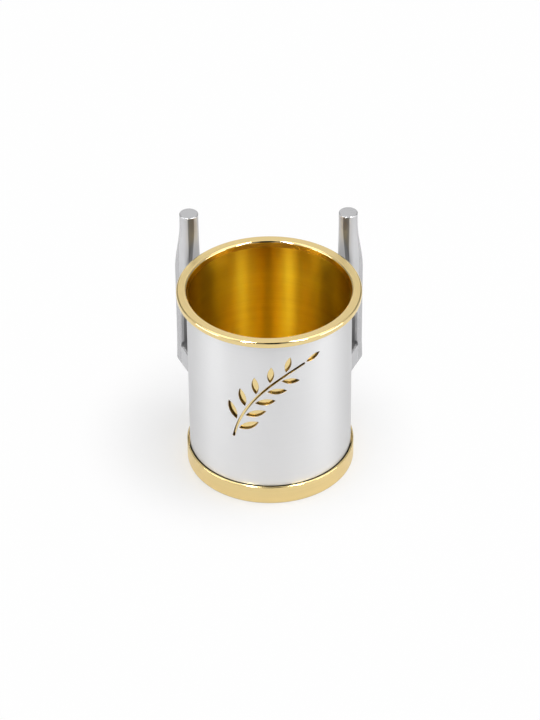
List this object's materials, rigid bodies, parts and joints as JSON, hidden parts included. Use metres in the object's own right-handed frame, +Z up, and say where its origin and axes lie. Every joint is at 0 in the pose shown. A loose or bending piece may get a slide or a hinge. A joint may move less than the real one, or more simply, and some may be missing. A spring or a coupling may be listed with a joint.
{
  "type": "handled washing cup",
  "caption": "Straight-sided metal cup with a gilt lining, brass rim and base, a pierced sprig on the front and upright bar handles at the back, for pouring water over the hands.",
  "frame": {"origin": "centre of the cup's foot, level with the table that the base ring stands on", "axes": "+Z up along the cup's axis, -Y towards the front with the pierced sprig, +X to the viewer's right when facing the front"},
  "size_m": [0.1224, 0.12, 0.1541],
  "materials": {
    "gilt_lining": "deep gold plating, brushed round the bore",
    "polished_brass": "pale gold, polished",
    "brushed_nickel": "satin silver, very fine brushing",
    "polished_steel": "bright polished",
    "screw_steel": "plain turned"
  },
  "bodies": {
    "root": {"liner_cup": "gilt_lining", "rim_ring": "polished_brass", "outer_sleeve": "brushed_nickel", "base_ring": "polished_brass", "base_plate": "polished_brass", "left_handle": "polished_steel", "right_handle": "polished_steel", "left_front_screw": "screw_steel", "left_rear_screw": "screw_steel", "right_front_screw": "screw_steel", "right_rear_screw": "screw_steel"}
  },
  "joints": []
}
